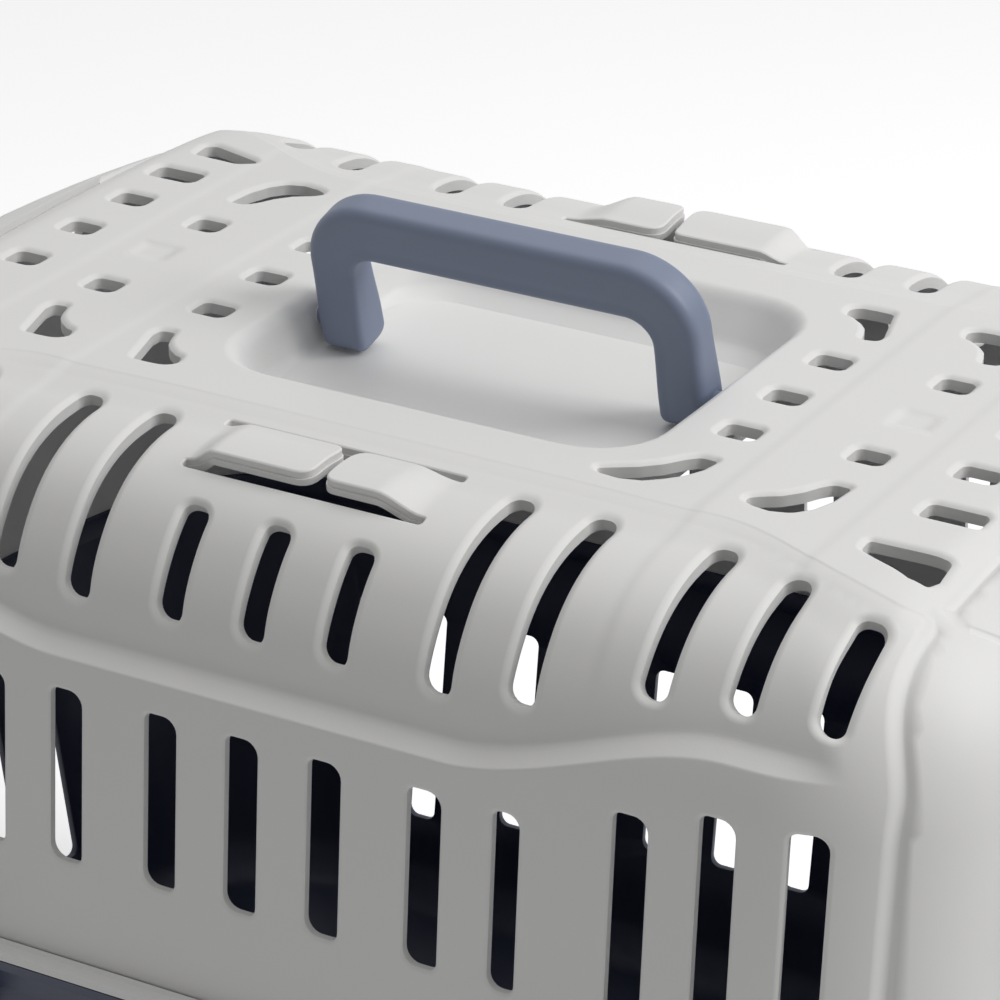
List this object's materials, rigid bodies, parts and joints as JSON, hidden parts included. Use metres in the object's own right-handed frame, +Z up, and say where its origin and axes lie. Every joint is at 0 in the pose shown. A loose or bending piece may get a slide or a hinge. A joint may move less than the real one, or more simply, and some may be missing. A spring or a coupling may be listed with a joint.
{
  "type": "pet carrier",
  "caption": "Small plastic pet carrier with a vented top shell clipped to a dark tub, a lattice end door and a folding top handle.",
  "frame": {"origin": "on the ground under the middle of the carrier", "axes": "+X along the carrier towards the door, +Y across it, +Z up"},
  "size_m": [0.49, 0.3418, 0.348],
  "materials": {
    "shell": "warm light grey moulded polypropylene with a fine grain",
    "shell_fittings": "warm light grey moulded polypropylene",
    "tub": "deep navy moulded polypropylene",
    "handle": "satin blue-grey moulded plastic",
    "clips": "satin blue-grey moulded plastic"
  },
  "bodies": {
    "carrier": {"top_shell": "shell", "base_tub": "tub"},
    "handle": {"handle": "handle"},
    "door": {"door": "shell_fittings", "latch_cover": "shell_fittings"},
    "bolt_upper": {"latch_bolt_upper": "handle"},
    "bolt_lower": {"latch_bolt_lower": "handle"},
    "clip_near_front": {"side_clip_near_front": "clips"},
    "clip_near_back": {"side_clip_near_back": "clips"},
    "clip_far_front": {"side_clip_far_front": "clips"},
    "clip_far_back": {"side_clip_far_back": "clips"},
    "clip_back_near": {"back_clip_near": "clips"},
    "clip_back_far": {"back_clip_far": "clips"}
  },
  "joints": [
    {"name": "handle_fold", "type": "hinge", "parent": "carrier", "child": "handle", "pos_m": [0, 0, 0.3012], "axis": [1, 0, 0], "range_deg": [-105, 75]},
    {"name": "door_hinge", "type": "hinge", "parent": "carrier", "child": "door", "pos_m": [0.234, -0.0908, 0.154], "axis": [0, 0, -1], "range_deg": [0, 100]},
    {"name": "bolt_upper_slide", "type": "slide", "parent": "door", "child": "bolt_upper", "axis": [0, 0, 1], "range_m": [0, 0.008]},
    {"name": "bolt_lower_slide", "type": "slide", "parent": "door", "child": "bolt_lower", "axis": [0, 0, -1], "range_m": [0, 0.008]},
    {"name": "clip_near_front_hinge", "type": "hinge", "parent": "carrier", "child": "clip_near_front", "pos_m": [0.112, -0.1663, 0.133], "axis": [1, 0, 0], "range_deg": [0, 110]},
    {"name": "clip_near_back_hinge", "type": "hinge", "parent": "carrier", "child": "clip_near_back", "pos_m": [-0.112, -0.1663, 0.133], "axis": [1, 0, 0], "range_deg": [0, 110]},
    {"name": "clip_far_front_hinge", "type": "hinge", "parent": "carrier", "child": "clip_far_front", "pos_m": [0.112, 0.1663, 0.133], "axis": [-1, 0, 0], "range_deg": [0, 110]},
    {"name": "clip_far_back_hinge", "type": "hinge", "parent": "carrier", "child": "clip_far_back", "pos_m": [-0.112, 0.1663, 0.133], "axis": [-1, 0, 0], "range_deg": [0, 110]},
    {"name": "clip_back_near_hinge", "type": "hinge", "parent": "carrier", "child": "clip_back_near", "pos_m": [-0.23591, -0.07046, 0.133], "axis": [0.1661, -0.9861, 0], "range_deg": [0, 110]},
    {"name": "clip_back_far_hinge", "type": "hinge", "parent": "carrier", "child": "clip_back_far", "pos_m": [-0.23591, 0.07046, 0.133], "axis": [-0.1661, -0.9861, 0], "range_deg": [0, 110]}
  ]
}
